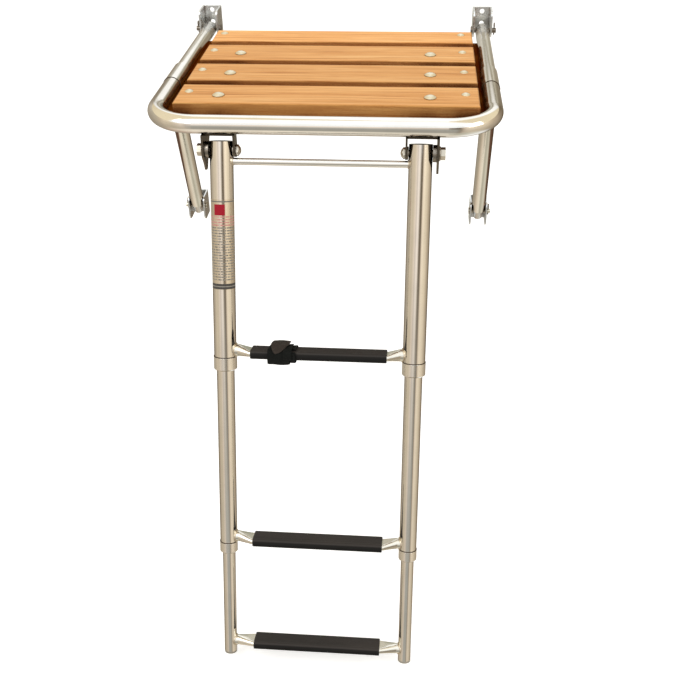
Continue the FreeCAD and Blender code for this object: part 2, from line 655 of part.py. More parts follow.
def rounded_bar(x0, x1, z, margin, radius):
    """Bar along X with rounded edges, larger than the grip section by the margin."""
    half_y, half_z = GRIP_D / 2 + margin, GRIP_T / 2 + margin
    bar = box(x0, x1, -half_y, half_y, z - half_z, z + half_z)
    return round_edges(bar, radius, runs_along_x)


def grip(station):
    """Grip round the flat of a tread, squarer outside than the tube inside it."""
    z, half = height(station), GRIP_LEN / 2
    return rounded_bar(-half, half, z, 0.0, GRIP_ROUND).cut(flat_bar(half + OVERCUT, z))


def strap():
    """Closed band round the first step."""
    z = height(STEP1)
    return rounded_bar(STRAP_X0, STRAP_X1, z, 3.4, 5.0).cut(
        rounded_bar(STRAP_X0 - OVERCUT, STRAP_X1 + OVERCUT, z, 1.0, 3.0))


rail_xs = [side * LADDER_X for _, side in SIDES]
for (name, _), x in zip(SIDES, rail_xs):
    outer_tube = rail_tube(x, 0, OUTER_END, OUTER_OD)
    save_ladder("outer_tube_" + name, drill_x(outer_tube, x, 0, 0, HINGE_BOLT_R + PIN_CLEAR))
    save_ladder("mid_tube_" + name, rail_tube(x, MID_TOP, MID_END, MID_OD))
    save_ladder("inner_tube_" + name, rail_tube(x, INNER_TOP, INNER_END, INNER_OD))

save_ladder("tube_plugs", *[rail_bar(x, 0, TOP_PLUG, OUTER_OD / 2 - TUBE_WALL)
                            for x in rail_xs])
save_ladder("outer_collars", *[collar(x, COLLAR1, COLLAR1_H, COLLAR1_OD, 1.6, OUTER_END,
                                      OUTER_OD, MID_OD) for x in rail_xs])
save_ladder("mid_collars", *[collar(x, COLLAR2, COLLAR2_H, COLLAR2_OD, 1.3, MID_END,
                                    MID_OD, INNER_OD) for x in rail_xs])
save_ladder("mid_glides", *[glide(x, MID_TOP, OUTER_OD, MID_OD) for x in rail_xs])
save_ladder("inner_glides", *[glide(x, INNER_TOP, MID_OD, INNER_OD) for x in rail_xs])
save_ladder("foot_caps", *[foot_cap(x) for x in rail_xs])

cross_rod = cylinder_x(-LADDER_X, LADDER_X, 0, height(ROD_STATION), ROD_R)
save_ladder("cross_rod", trim_to_rails(cross_rod, ROD_STATION, OUTER_OD, 40))

# station, station of the round ends, rail diameter, round end radius
STEPS = (
    (STEP1, COLLAR1 - 9.4, OUTER_OD, 9.0),
    (STEP2, COLLAR2 - 8.4, MID_OD, 8.0),
    (STEP3, STEP3, INNER_OD, 7.6),
)
for number, step in enumerate(STEPS, 1):
    save_ladder(f"step_{number}_tread", tread(*step))
    save_ladder(f"step_{number}_grip", grip(step[0]))
save_ladder("retaining_strap", strap())
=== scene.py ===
# Boarding platform of four teak slats on a steel frame, with a three-step telescoping ladder.
# X runs across, +Y points towards the boat, +Z is up; the ladder hangs from its hinge at the
# outboard (-Y) side and is seen from there. Lengths are in metres.
import json
import math
import random
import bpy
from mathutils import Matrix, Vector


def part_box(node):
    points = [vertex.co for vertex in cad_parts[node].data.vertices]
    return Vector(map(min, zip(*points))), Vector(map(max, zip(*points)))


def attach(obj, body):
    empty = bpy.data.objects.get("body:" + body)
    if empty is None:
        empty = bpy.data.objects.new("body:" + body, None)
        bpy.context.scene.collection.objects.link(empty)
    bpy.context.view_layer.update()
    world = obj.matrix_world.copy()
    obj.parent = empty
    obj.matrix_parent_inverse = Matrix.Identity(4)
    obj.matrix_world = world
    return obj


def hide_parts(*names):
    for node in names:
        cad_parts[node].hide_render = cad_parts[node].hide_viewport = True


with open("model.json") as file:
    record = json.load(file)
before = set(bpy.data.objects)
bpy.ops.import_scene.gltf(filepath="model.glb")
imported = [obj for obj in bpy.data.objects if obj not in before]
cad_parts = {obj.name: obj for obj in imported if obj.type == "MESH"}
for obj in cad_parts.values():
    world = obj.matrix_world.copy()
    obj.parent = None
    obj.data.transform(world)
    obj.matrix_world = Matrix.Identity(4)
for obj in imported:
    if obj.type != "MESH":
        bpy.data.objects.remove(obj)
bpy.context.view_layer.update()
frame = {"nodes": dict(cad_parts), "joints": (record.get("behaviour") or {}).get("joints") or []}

from fnmatch import fnmatchcase

import bmesh
import bpy
from mathutils import Matrix, Vector

random.seed(11)
NODES = frame["nodes"]
JOINTS = {joint["name"]: joint for joint in frame["joints"]}

# ladder section, step number; each section slides inside the one before
SECTIONS = (("outer", 1), ("mid", 2), ("inner", 3))
# side, sign of the X direction from that rail towards the middle
SIDES = (("left", 1), ("right", -1))


# ------------------------------------------------------------------ ladder space
# x across, y towards the boat at right angles to the rails, z up along the rails,
# origin on the ladder hinge
HINGE = Vector(JOINTS["ladder_hinge"]["pos_m"])
UPWARD = -Vector(JOINTS["mid_slide"]["axis"]).normalized()
ACROSS = Vector((1, 0, 0))
BOATWARD = UPWARD.cross(ACROSS).normalized()
if BOATWARD.y < 0:
    BOATWARD = -BOATWARD


def from_ladder(x, y, z):
    return HINGE + ACROSS * x + BOATWARD * y + UPWARD * z


def to_ladder(point):
    offset = point - HINGE
    return offset.dot(ACROSS), offset.dot(BOATWARD), offset.dot(UPWARD)


def ladder_box(node):
    """Low and high corners of a piece in ladder space."""
    columns = list(zip(*(to_ladder(v.co) for v in NODES[node].data.vertices)))
    return Vector([min(c) for c in columns]), Vector([max(c) for c in columns])


def span(low, high):
    """Centre and half length of an interval."""
    return (low + high) / 2, (high - low) / 2


def tube_section(node):
    """Centre x, centre y and radius of a ladder tube."""
    low, high = ladder_box(node)
    centre_x, radius = span(low.x, high.x)
    return centre_x, span(low.y, high.y)[0], radius


# ------------------------------------------------------------------ mesh helpers
def mesh_object(name, verts, faces, uvs=None, smooth=True):
    mesh = bpy.data.meshes.new(name)
    mesh.from_pydata([tuple(v) for v in verts], [], faces)
    mesh.validate()
    if uvs is not None:
        layer = mesh.uv_layers.new(name="UVMap")
        for loop in mesh.loops:
            layer.data[loop.index].uv = uvs[loop.vertex_index]
    for polygon in mesh.polygons:
        polygon.use_smooth = smooth
    mesh.update()
    obj = bpy.data.objects.new(name, mesh)
    bpy.context.scene.collection.objects.link(obj)
    return obj


def skin(name, rings, joined=False):
    """Surface through closed rings of points; joined links the last ring to the first."""
    count = len(rings[0])
    faces = []
    for i in range(len(rings) if joined else len(rings) - 1):
        j = (i + 1) % len(rings)
        for k in range(count):
            n = (k + 1) % count
            faces.append((i * count + k, i * count + n, j * count + n, j * count + k))
    return mesh_object(name, [point for ring in rings for point in ring], faces)


def circle_angles(count):
    return [2 * math.pi * k / count for k in range(count)]


def bead(name, path, radius, uneven=0.0, segments=8):
    """Round bar along a closed path; uneven varies its thickness along the way."""
    points = [Vector(p) for p in path]
    rings = []
    previous = None
    for i, point in enumerate(points):
        tangent = (points[(i + 1) % len(points)] - points[i - 1]).normalized()
        if previous is None:
            reference = Vector((0, 0, 1)) if abs(tangent.z) < 0.9 else Vector((1, 0, 0))
            side = tangent.cross(reference).normalized()
        else:
            side = (previous - tangent * previous.dot(tangent)).normalized()
        previous = side
        other = tangent.cross(side)
        r = radius * (1 + uneven * math.sin(i * 1.9) + uneven * 0.5 * math.sin(i * 4.3 + 1))
        rings.append([point + side * math.cos(a) * r + other * math.sin(a) * r
                      for a in circle_angles(segments)])
    return skin(name, rings, joined=True)


def weld_and_orient(obj):
    bm = bmesh.new()
    bm.from_mesh(obj.data)
    bmesh.ops.remove_doubles(bm, verts=bm.verts, dist=1e-7)
    bmesh.ops.recalc_face_normals(bm, faces=bm.faces)
    bm.to_mesh(obj.data)
    bm.free()
    obj.data.update()


def sharpen(obj, degrees):
    obj.data.set_sharp_from_angle(angle=math.radians(degrees))


def assign(obj, material):
    obj.data.materials.clear()
    obj.data.materials.append(material)


# ------------------------------------------------------------------ shader helpers
class Graph:
    """Wires a node tree. Inputs may be numbers, colours, vectors or other nodes' outputs."""

    def __init__(self, tree):
        self.tree = tree
        self.coords = self.node("ShaderNodeTexCoord").outputs

    def feed(self, socket, value):
        if value is None:
            return
        if isinstance(value, (int, float)):
            socket.default_value = value
        elif isinstance(value, tuple):
            opaque = socket.type == "RGBA" and len(value) == 3
            socket.default_value = (*value, 1) if opaque else value
        else:
            self.tree.links.new(value, socket)

    def node(self, kind, inputs=None, **properties):
        new = self.tree.nodes.new(kind)
        for key, value in properties.items():
            setattr(new, key, value)
        for key, value in (inputs or {}).items():
            self.feed(new.inputs[key], value)
        return new

    def mapping(self, stretch=(1, 1, 1), offset=(0, 0, 0), source=None):
        return self.node("ShaderNodeMapping", {
            "Scale": stretch, "Location": offset,
            "Vector": source or self.coords["Object"]}).outputs["Vector"]

    def noise(self, scale, detail, rough, distort=0.0, vector=None, **mapping):
        return self.node("ShaderNodeTexNoise", {
            "Scale": scale, "Detail": detail, "Roughness": rough, "Distortion": distort,
            "Vector": vector or self.mapping(**mapping)}).outputs["Fac"]

    def wave(self, direction, profile, vector, scale, **inputs):
        inputs = {key.replace("_", " "): value for key, value in inputs.items()}
        return self.node(
            "ShaderNodeTexWave", {"Scale": scale, "Vector": vector, **inputs},
            wave_type="BANDS", bands_direction=direction, wave_profile=profile).outputs["Fac"]

    def ramp(self, value, stops):
        new = self.node("ShaderNodeValToRGB", {"Fac": value})
        elements = new.color_ramp.elements
        while len(elements) > 1:
            elements.remove(elements[-1])
        elements[0].position = stops[0][0]
        elements[0].color = (*stops[0][1], 1)
        for position, colour in stops[1:]:
            elements.new(position).color = (*colour, 1)
        return new.outputs["Color"]

    def remap(self, value, source, to=(0.0, 1.0), interpolation="LINEAR"):
        return self.node("ShaderNodeMapRange", {
            "Value": value, "From Min": source[0], "From Max": source[1],
            "To Min": to[0], "To Max": to[1]}, interpolation_type=interpolation).outputs["Result"]

    def step(self, value, start, end):
        """Smooth rise from 0 at start to 1 at end."""
        return self.remap(value, (start, end), interpolation="SMOOTHSTEP")

    def calc(self, operation, a, b=None):
        return self.node("ShaderNodeMath", {0: a, 1: b}, operation=operation).outputs[0]

    def times(self, a, b):
        return self.calc("MULTIPLY", a, b)

    def mix(self, amount, a, b, blend="MIX"):
        return self.node("ShaderNodeMix", {0: amount, 6: a, 7: b},
                         data_type="RGBA", blend_type=blend).outputs[2]

    def multiply(self, colour, by, amount=1.0):
        return self.mix(amount, colour, by, "MULTIPLY")

    def split(self, vector):
        return self.node("ShaderNodeSeparateXYZ", {0: vector}).outputs

    def normal_xyz(self):
        return self.split(self.node("ShaderNodeNewGeometry").outputs["Normal"])

    def occlusion(self, distance):
        return self.node("ShaderNodeAmbientOcclusion", {"Distance": distance},
                         samples=6).outputs["AO"]

    def bump(self, height, strength, distance, normal=None):
        return self.node("ShaderNodeBump", {
            "Strength": strength, "Distance": distance,
            "Height": height, "Normal": normal}).outputs["Normal"]

    def bevel(self, radius):
        return self.node("ShaderNodeBevel", {"Radius": radius}, samples=6).outputs["Normal"]


class Material(Graph):
    """Node graph of a new material, built round its Principled shader."""

    def __init__(self, name):
        self.material = bpy.data.materials.new(name)
        self.material.use_nodes = True
        super().__init__(self.material.node_tree)
        self.shader = self.tree.nodes["Principled BSDF"]

    def surface(self, **inputs):
        """Feed the Principled shader; underscores in the names stand for spaces."""
        for key, value in inputs.items():
            self.feed(self.shader.inputs[key.replace("_", " ")], value)
        return self.material


# ------------------------------------------------------------------ steel
# texture stretch that draws the fine lines out along one axis
EVEN = (1, 1, 1)
ALONG_X = (0.03, 1, 1)
ALONG_Y = (1, 0.03, 1)
ALONG_Z = (1, 1, 0.03)
PLATE_GRAIN = (1, 0.2, 1)


def steel(name, colour=(0.90, 0.885, 0.85), rough=0.13, grain=EVEN, scratch=0.25, dark=0.75,
          bevel=0.0, stain=0.25, painted_shade_reach=0.0, rim=0.0, side=0, tint=None):
    """Stainless steel with fine drawn lines, smudges and a little tea staining.

    dark: smudge brightness; bevel: rounding radius; painted_shade_reach: reach of the painted
    shade in corners;
    rim: painted dark edge reflection at glancing angles; side: -1 or 1 paints a dark reflection
    on the face towards -X or +X;
    tint: specular tint.
    """
    m = Material(name)
    smudge = m.noise(scale=22, detail=5, rough=0.6)
    blot = m.noise(scale=6, detail=3, rough=0.5, offset=(3, 1, 2))
    lines = m.noise(scale=90, detail=6, rough=0.7, stretch=grain)
    smudged = tuple(c * dark for c in colour)
    brown = (colour[0] * 0.80, colour[1] * 0.66, colour[2] * 0.48)
    base = m.mix(m.remap(smudge, (0.35, 0.75), to=(0.0, 0.35)), colour, smudged)
    base = m.mix(m.remap(blot, (0.52, 0.75), to=(0.0, stain)), base, brown)
    if rim:
        # painted dark edge reflection: tubes darken where the wall turns away from the eye
        facing = m.node("ShaderNodeLayerWeight", {"Blend": 0.5}).outputs["Facing"]
        shade = m.ramp(facing, [(0.52, (1, 1, 1)), (0.76, (0.52, 0.46, 0.38)),
                                (0.95, (0.20, 0.15, 0.10))])
        base = m.mix(rim, base, m.multiply(base, shade))
        tint = (1 - 0.6 * rim, 1 - 0.66 * rim, 1 - 0.72 * rim, 1)
    if side:
        # painted dark reflection on one side, narrowing further down
        facing_x = m.normal_xyz()["X"]
        height = m.split(m.coords["Object"])["Z"]
        top_edge = 0.02 if side < 0 else 0.30
        edge = m.remap(height, (-0.045, -0.215), to=(top_edge, 0.62))
        past_edge = m.calc("SUBTRACT", m.times(facing_x, float(side)), edge)
        base = m.mix(m.remap(past_edge, (0.0, 0.14), to=(0.0, 0.90)),
                     base, (0.17, 0.075, 0.045))
    if painted_shade_reach:
        # painted shade where parts meet, from ambient occlusion
        painted_corner_shade = m.ramp(m.occlusion(painted_shade_reach), [(0.0, (0.04, 0.03, 0.02)), (0.45, (0.30, 0.25, 0.20)),
                                           (0.80, (1, 1, 1))])
        base = m.multiply(base, painted_corner_shade)
    roughness = m.calc("ADD", m.remap(smudge, (0.3, 0.7), to=(rough * 0.75, rough * 1.35)),
                       m.remap(lines, (0.4, 0.7), to=(0.0, rough * 0.35)))
    rounded = m.bevel(bevel) if bevel else None
    return m.surface(
        Base_Color=base, Metallic=1.0, Roughness=roughness, Specular_Tint=tint,
        Normal=m.bump(lines, strength=scratch * 0.35, distance=0.00006, normal=rounded))


# ------------------------------------------------------------------ teak
TEAK_COLOURS = (
    (0.24, (0.64, 0.285, 0.085)), (0.42, (0.83, 0.415, 0.142)),
    (0.58, (0.93, 0.51, 0.195)), (0.78, (1.0, 0.62, 0.27)))
# slat number, brightness, painted shade of the long edges
SLATS = (
    (1, 1.08, (0.66, 0.57, 0.47)),
    (2, 0.92, (0.66, 0.57, 0.47)),
    (3, 0.88, (0.66, 0.57, 0.47)),
    (4, 0.90, (0.88, 0.90, 0.82)))


def teak(number, tone, painted_edge_shade):
    """Board running along X: long growth streaks, fine pores and a few darker bands."""
    m = Material("teak_slat_%d" % number)
    seed = number * 1.37
    growth = m.noise(scale=3.2, detail=4, rough=0.55, distort=1.0,
                     stretch=(0.9, 26, 18), offset=(seed * 3.1, seed * 1.7, seed))
    streaks = m.noise(scale=3.5, detail=6, rough=0.68, distort=0.4,
                      stretch=(2.6, 135, 90), offset=(seed * 5.3, seed * 2.1, 1))
    pores = m.noise(scale=3.0, detail=2, rough=0.5,
                    stretch=(9, 520, 380), offset=(seed, 0, seed * 2))
    bands = m.wave("Y", "SAW", scale=34, Distortion=6.0, Detail=3, Detail_Scale=0.6,
                   vector=m.mapping((0.22, 1, 1.3), (seed * 2.7, seed * 0.9, 0)))

    base = m.ramp(growth, [(at, tuple(c * tone for c in colour)) for at, colour in TEAK_COLOURS])
    base = m.multiply(base, amount=0.86, by=m.ramp(streaks, [
        (0.36, (0.66, 0.48, 0.32)), (0.47, (0.96, 0.94, 0.92)),
        (0.56, (1, 1, 1)), (0.70, (1.07, 1.10, 1.14))]))
    base = m.multiply(base, amount=0.50, by=m.ramp(bands, [
        (0.0, (0.82, 0.75, 0.67)), (0.30, (1, 1, 1)),
        (0.92, (1.03, 1.02, 1.0)), (1.0, (0.86, 0.80, 0.72))]))
    base = m.multiply(base, amount=0.40, by=m.ramp(pores, [
        (0.34, (0.60, 0.48, 0.38)), (0.42, (1, 1, 1))]))
    # painted shade in the gaps and round the fixings, from ambient occlusion
    base = m.multiply(base, m.ramp(m.occlusion(0.034), [
        (0.0, (0.03, 0.012, 0.004)), (0.36, (0.13, 0.06, 0.022)), (0.56, (0.34, 0.22, 0.13)),
        (0.74, (0.80, 0.74, 0.67)), (0.90, (1, 1, 1))]))
    # painted shade: long edges and undersides are darker; end grain is darker too
    normal = m.normal_xyz()
    base = m.multiply(base, m.ramp(m.calc("ABSOLUTE", normal["Y"]), [
        (0.45, (1, 1, 1)), (0.95, painted_edge_shade)]))
    end_grain = m.times(m.calc("ABSOLUTE", normal["X"]), 0.65)
    base = m.mix(end_grain, base, (0.14, 0.055, 0.016))
    underside = m.remap(normal["Z"], (-0.3, -0.9), to=(0.0, 0.88))
    base = m.mix(underside, base, (0.075, 0.035, 0.014))

    height = m.calc("ADD", m.times(streaks, 0.6), m.times(pores, 0.4))
    relief = m.bump(height, strength=0.35, distance=0.0003, normal=m.bevel(0.0009))
    return m.surface(Base_Color=base, Normal=relief, Specular_IOR_Level=0.16,
                     Roughness=m.remap(streaks, (0.3, 0.7), to=(0.50, 0.66)))


# ------------------------------------------------------------------ rubber, nylon and webbing
def rubber(name, colour, light, rough, grain=70, shaded=None):
    """Matt rubber or plastic; shaded is the painted shade colour of the faces that don't point
    up.
    """
    m = Material(name)
    fine = m.noise(scale=grain, detail=5, rough=0.6)
    broad = m.noise(scale=14, detail=4, rough=0.6, stretch=(0.25, 1, 1))
    base = m.mix(m.remap(broad, (0.3, 0.75)), colour, light)
    if shaded:
        # painted shade on the faces that don't point up
        base = m.mix(m.remap(m.normal_xyz()["Z"], (0.62, 0.30)), base, shaded)
    return m.surface(
        Base_Color=base, Normal=m.bump(fine, strength=0.25, distance=0.0003),
        Roughness=m.remap(broad, (0.3, 0.7), to=(rough * 0.85, rough * 1.15)),
        Specular_IOR_Level=0.22)


def webbing(name, valley, thread, lint):
    """Woven strap: diagonal threads over cross ribs, with a little lint."""
    m = Material(name)
    uv = m.coords["UV"]
    threads = m.wave("DIAGONAL", "SIN", scale=1.0,
                     vector=m.mapping((110, 110, 1), source=uv))
    ribs = m.wave("X", "SIN", scale=1.0, vector=m.mapping((75, 1, 1), source=uv))
    fuzz = m.noise(scale=260, detail=4, rough=0.6)
    base = m.mix(m.times(threads, 0.6), valley, thread)
    base = m.mix(m.remap(fuzz, (0.45, 0.75), to=(0, 0.35)), base, lint)
    height = m.calc("ADD", threads, m.times(ribs, 0.6))
    return m.surface(
        Base_Color=base, Roughness=m.remap(fuzz, (0.3, 0.7), to=(0.72, 0.9)),
        Normal=m.bump(height, strength=0.5, distance=0.0004), Specular_IOR_Level=0.12)


# ------------------------------------------------------------------ sticker film
# layout in UV: u round the tube, v down it
RED_BLOCK_U, RED_BLOCK_V = (0.352, 0.602), (0.053, 0.172)
BARS_U, BARS_V = (0.10, 0.90), (0.182, 0.895)
BAR_ROWS = 33.0
BAR_FILL = 0.46             # printed share of each row's height
BAR_BREAKS = 26.0           # noise cells that break the rows up
RED_BARS_END = 0.30         # bars above this v are reddish, the rest grey
BOTTOM_BAND, BOTTOM_LINE = (0.932, 0.994), (0.958, 0.968)
TOP_LINE = (0.016, 0.030)


def film():
    """Clear film over the steel with a red block, rows of bars and dark bands, no lettering."""
    m = Material("sticker_blank")
    uv = m.coords["UV"]
    sides = m.split(uv)
    u, v = sides["X"], sides["Y"]

    def within(value, limits):
        return m.times(m.calc("GREATER_THAN", value, limits[0]),
                       m.calc("LESS_THAN", value, limits[1]))

    red = m.times(within(u, RED_BLOCK_U), within(v, RED_BLOCK_V))
    row_phase = m.calc("FRACT", m.times(v, BAR_ROWS))
    rows = m.times(m.calc("LESS_THAN", row_phase, BAR_FILL), within(v, BARS_V))
    cell = m.node("ShaderNodeCombineXYZ", {
        0: m.times(u, BAR_BREAKS), 1: m.calc("FLOOR", m.times(v, BAR_ROWS))}).outputs[0]
    breaks = m.noise(scale=1.0, detail=0, rough=0.5, vector=cell)
    bars = m.times(m.times(rows, m.calc("GREATER_THAN", breaks, 0.40)), within(u, BARS_U))
    line_fade = m.calc("SUBTRACT", 1.0, m.times(within(v, BOTTOM_LINE), 0.30))
    bottom = m.times(within(v, BOTTOM_BAND), line_fade)
    top = within(v, TOP_LINE)

    wear = m.noise(scale=1.0, detail=4, rough=0.6, stretch=(30, 12, 1), source=uv)
    smudge = m.noise(scale=60, detail=4, rough=0.6)
    bar_colour = m.mix(m.calc("GREATER_THAN", v, RED_BARS_END),
                       (0.42, 0.07, 0.07), (0.030, 0.026, 0.018))
    metal = m.mix(m.remap(smudge, (0.35, 0.75), to=(0.0, 0.4)),
                  (0.84, 0.79, 0.70), (0.66, 0.60, 0.50))
    worn_bars = m.times(bars, m.remap(wear, (0.35, 0.6), to=(0.50, 0.85)))
    base = m.mix(worn_bars, metal, bar_colour)
    base = m.mix(red, base, (0.30, 0.010, 0.022))
    dark = m.calc("MAXIMUM", m.times(bottom, 0.93), m.times(top, 0.8))
    base = m.mix(dark, base, (0.012, 0.010, 0.010))
    ink = m.calc("MAXIMUM", m.calc("MAXIMUM", worn_bars, red), dark)
    return m.surface(
        Base_Color=base, Metallic=m.calc("SUBTRACT", 1.0, ink),
        Roughness=m.remap(ink, (0, 1), to=(0.16, 0.34)),
        Normal=m.bump(smudge, strength=0.1, distance=0.0001), Specular_IOR_Level=0.12)


# ------------------------------------------------------------------ finishes of the pieces
# the grip's faces that don't point up get a near-black painted shade
GRIP_RUBBER = rubber("rubber_grip", (0.020, 0.0175, 0.016), (0.048, 0.040, 0.035), rough=0.55,
                     shaded=(0.004, 0.004, 0.004))
BLACK_WEBBING = webbing("webbing_black", valley=(0.0035, 0.0045, 0.004),
                        thread=(0.012, 0.013, 0.012), lint=(0.022, 0.022, 0.02))
TAB_WEBBING = webbing("webbing_tab", valley=(0.030, 0.023, 0.019),
                      thread=(0.062, 0.050, 0.042), lint=(0.08, 0.068, 0.058))
WELD_STEEL = steel("steel_weld", colour=(0.72, 0.64, 0.52), rough=0.30, scratch=1.0,
                   dark=0.55, stain=0.5)
SEAM_DARK = rubber("seam_dark", (0.040, 0.027, 0.016), (0.09, 0.064, 0.038), rough=0.6,
                   grain=200)


# each strut gets a painted dark reflection on its outboard side
def strut_steel(side_name, side):
    return steel("steel_strut_tube_" + side_name, grain=ALONG_Z, rough=0.13,
                 colour=(0.86, 0.84, 0.78), stain=0.15, rim=0.5, side=side)


# name patterns of the pieces, their material; the first match counts
FINISHES = (
    (("front_rail", "cross_rod"),
     steel("steel_rail", grain=ALONG_X, rough=0.085, stain=0.15, rim=0.32)),
    (("side_tube*", "sleeve*"),
     steel("steel_side_tube", grain=ALONG_Y, rough=0.085, stain=0.15, rim=0.10)),
    (("outer_tube*", "mid_tube*", "inner_tube*"),
     steel("steel_ladder_tube", grain=ALONG_Z, rough=0.075, stain=0.15, rim=0.8)),
    (("strut_tube*_left",), strut_steel("left", -1)),
    (("strut_tube*_right",), strut_steel("right", 1)),
    (("*_tread",),
     steel("steel_tread", grain=ALONG_X, colour=(0.82, 0.80, 0.73), rough=0.16, stain=0.35)),
    (("*_collars",),
     steel("steel_collar", grain=ALONG_X, rough=0.16, bevel=0.0005)),
    # the hinge brackets use a very dark copy of the plate steel, as painted shade
    (("ladder_bracket*",),
     steel("steel_plate_painted_shade", grain=PLATE_GRAIN, colour=(0.17, 0.145, 0.115), rough=0.20,
           bevel=0.0006, scratch=0.5, dark=0.6, painted_shade_reach=0.02)),
    (("upper_bracket*", "lower_bracket*"),
     steel("steel_plate", grain=PLATE_GRAIN, colour=(0.86, 0.89, 0.92), rough=0.25,
           bevel=0.0006, scratch=0.5, dark=0.74, stain=0.06, painted_shade_reach=0.007)),
    # slat supports and cross bars: dark brown steel with a brown specular tint, painted shade for
    # the strip between slats and tubes
    (("slat_support*", "cross_bar*"),
     steel("steel_flat_bar_painted_shade", grain=ALONG_Y, colour=(0.20, 0.105, 0.035), rough=0.38,
           bevel=0.0005, scratch=0.6, dark=0.6, painted_shade_reach=0.03, tint=(0.55, 0.30, 0.10, 1))),
    (("rear_eye*", "strut_eyes*"),
     steel("steel_eye_end", colour=(0.66, 0.65, 0.61), rough=0.22, bevel=0.0007,
           scratch=0.8, dark=0.55)),
    *((("slat_%d" % slat[0],), teak(*slat)) for slat in SLATS),
    (("*_grip",), GRIP_RUBBER),
    (("retaining_strap",), BLACK_WEBBING),
    (("*cotter*", "upper_pins"),
     steel("steel_split_pin", colour=(0.24, 0.21, 0.18), rough=0.35)),
    (("ladder_pivot_bolts", "ladder_pivot_nuts"),
     steel("steel_hinge_bolt", colour=(0.62, 0.58, 0.50), rough=0.26, bevel=0.0004,
           painted_shade_reach=0.006)),
    (("ladder_pivot_washers",),
     steel("steel_spacer", colour=(0.34, 0.31, 0.27), rough=0.2, bevel=0.0006, painted_shade_reach=0.01)),
    (("slat_screws", "bracket_bolts"),
     steel("steel_domed_head", colour=(0.80, 0.76, 0.62), rough=0.34, bevel=0.0004,
           scratch=0.4, dark=0.8, stain=0.2, painted_shade_reach=0.005)),
    (("foot_caps",),
     rubber("nylon_foot_grey", (0.22, 0.20, 0.16), (0.32, 0.29, 0.24), rough=0.45, grain=120)),
    (("mid_glides", "inner_glides", "tube_plugs"),
     rubber("nylon_black", (0.018, 0.016, 0.014), (0.03, 0.028, 0.025), rough=0.42,
            grain=120)),
    (("*",),
     steel("steel_fastener", colour=(0.82, 0.79, 0.68), rough=0.24, bevel=0.0004,
           stain=0.15, painted_shade_reach=0.004)),
)

for piece_name, piece in NODES.items():
    assign(piece, next(material for patterns, material in FINISHES
                       if any(fnmatchcase(piece_name, pattern) for pattern in patterns)))


# ------------------------------------------------------------------ ribbed rubber grips
GRIP_CORNER = 0.0042        # corner radius of the section
GRIP_CORNER_STEPS = 9
GRIP_FACE_STEPS = 96        # across the top, and again across the bottom
RIB_DEPTH = 0.00055
RIB_PITCH = 0.0031


def grip_profile(half_depth, half_thick):
    """Section in (y, z) round its own centre: flat ribbed top and bottom, round corners."""
    flat_y = half_depth - GRIP_CORNER
    flat_z = half_thick - GRIP_CORNER

    def groove(y):
        if abs(y) >= half_depth - GRIP_CORNER * 0.8:
            return 0.0
        return -RIB_DEPTH * (0.5 - 0.5 * math.cos(2 * math.pi * y / RIB_PITCH)) ** 0.7

    def face(first, direction):
        for i in range(first, GRIP_FACE_STEPS + 1):
            y = direction * (-flat_y + 2 * flat_y * i / GRIP_FACE_STEPS)
            yield y, direction * (half_thick + groove(y))

    def corner(side_y, side_z, start, first, last):
        for k in range(first, last + 1):
            angle = start - math.pi / 2 * k / GRIP_CORNER_STEPS
            yield (side_y * flat_y + GRIP_CORNER * math.cos(angle),
                   side_z * flat_z + GRIP_CORNER * math.sin(angle))

    steps = GRIP_CORNER_STEPS
    return [
        *face(0, 1),
        *corner(1, 1, math.pi / 2, 1, steps),
        *corner(1, -1, 0, 0, steps),
        *face(1, -1),
        *corner(-1, -1, -math.pi / 2, 1, steps),
        *corner(-1, 1, math.pi, 0, steps - 1),
    ]


def build_grip(section, number):
    node = "step_%d_grip" % number
    low, high = ladder_box(node)
    centre_x, half_x = span(low.x, high.x)
    centre_y, half_y = span(low.y, high.y)
    centre_z, half_z = span(low.z, high.z)
    profile = grip_profile(half_y, half_z)
    # x from the middle, scale of the section: rounded end with an open lip
    end = [(half_x, 0.80), (half_x, 0.955), (half_x - 0.0006, 0.99),
           (half_x - 0.0016, 1.0), (half_x * 0.5, 1.0)]
    stations = [(-x, scale) for x, scale in end] + [(0, 1.0)] + end[::-1]
    rings = []
    for x, scale in stations:
        scale_y = 1 - (1 - scale) * 0.4 * half_z / half_y * 2
        # slight waviness away from the ends
        sway = 0.00025 * math.sin(x * 60) if abs(x) < half_x - 0.002 else 0
        rings.append([from_ladder(centre_x + x, centre_y + y * scale_y + sway,
                                  centre_z + z * scale) for y, z in profile])
    grip = skin("grip_step_%d" % number, rings)
    weld_and_orient(grip)
    sharpen(grip, 50)
    assign(grip, GRIP_RUBBER)
    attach(grip, "ladder_" + section)
    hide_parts(node)


for section, number in SECTIONS:
    build_grip(section, number)


# ------------------------------------------------------------------ webbing strap on step 1
RIBBON_STEPS = 14           # faces across the webbing
EDGE_THICKNESS = 0.35       # thickness at the selvedge, as a share of the full one
WRAP_STEPS = 72
TAB_STEPS = 36


